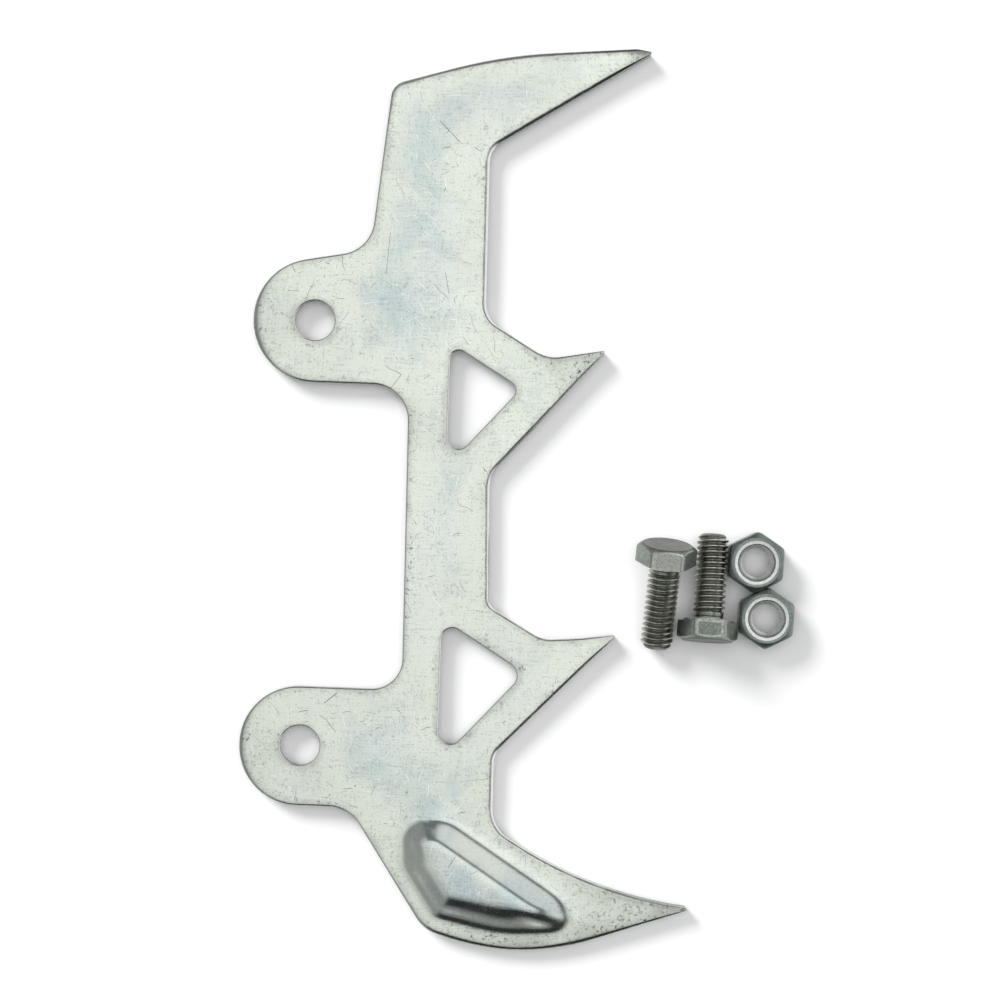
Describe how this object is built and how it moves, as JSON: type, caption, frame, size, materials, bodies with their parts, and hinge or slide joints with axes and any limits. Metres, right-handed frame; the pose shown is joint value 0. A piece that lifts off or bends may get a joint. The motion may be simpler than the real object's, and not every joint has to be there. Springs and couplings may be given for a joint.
{
  "type": "chainsaw bumper spike set",
  "caption": "Flat toothed steel bumper spike plate with two mounting holes and a formed stiffening rib, laid out with the hex bolts and nuts that fix it.",
  "frame": {"origin": "midway between the plate's two mounting holes, on its flat back face", "axes": "+Y from the lower hole to the upper hole, +X towards the teeth, +Z out of the face that the rib rises from"},
  "size_m": [0.0984, 0.1617, 0.012],
  "materials": {
    "zinc_plate": "pale zinc plate over rolled sheet, faint blue and yellow-green clouding, fine scratches",
    "bolt_steel": "dull grey plated steel with bright thread crests",
    "nut_steel": "dull grey-green plated steel with a bright countersink"
  },
  "bodies": {
    "plate": {"spike_plate": "zinc_plate"},
    "bolt_right": {"right_bolt": "bolt_steel"},
    "bolt_left": {"left_bolt": "bolt_steel"},
    "nut_upper": {"upper_nut": "nut_steel"},
    "nut_lower": {"lower_nut": "nut_steel"}
  },
  "joints": [
    {"name": "right_bolt_lift", "type": "slide", "parent": "plate", "child": "bolt_right", "axis": [0, 0, 1], "range_m": [0, 0.05]},
    {"name": "left_bolt_lift", "type": "slide", "parent": "bolt_right", "child": "bolt_left", "axis": [0, 0, 1], "range_m": [0, 0.05]},
    {"name": "upper_nut_lift", "type": "slide", "parent": "plate", "child": "nut_upper", "axis": [0, 0, 1], "range_m": [0, 0.05]},
    {"name": "lower_nut_lift", "type": "slide", "parent": "plate", "child": "nut_lower", "axis": [0, 0, 1], "range_m": [0, 0.05]}
  ]
}
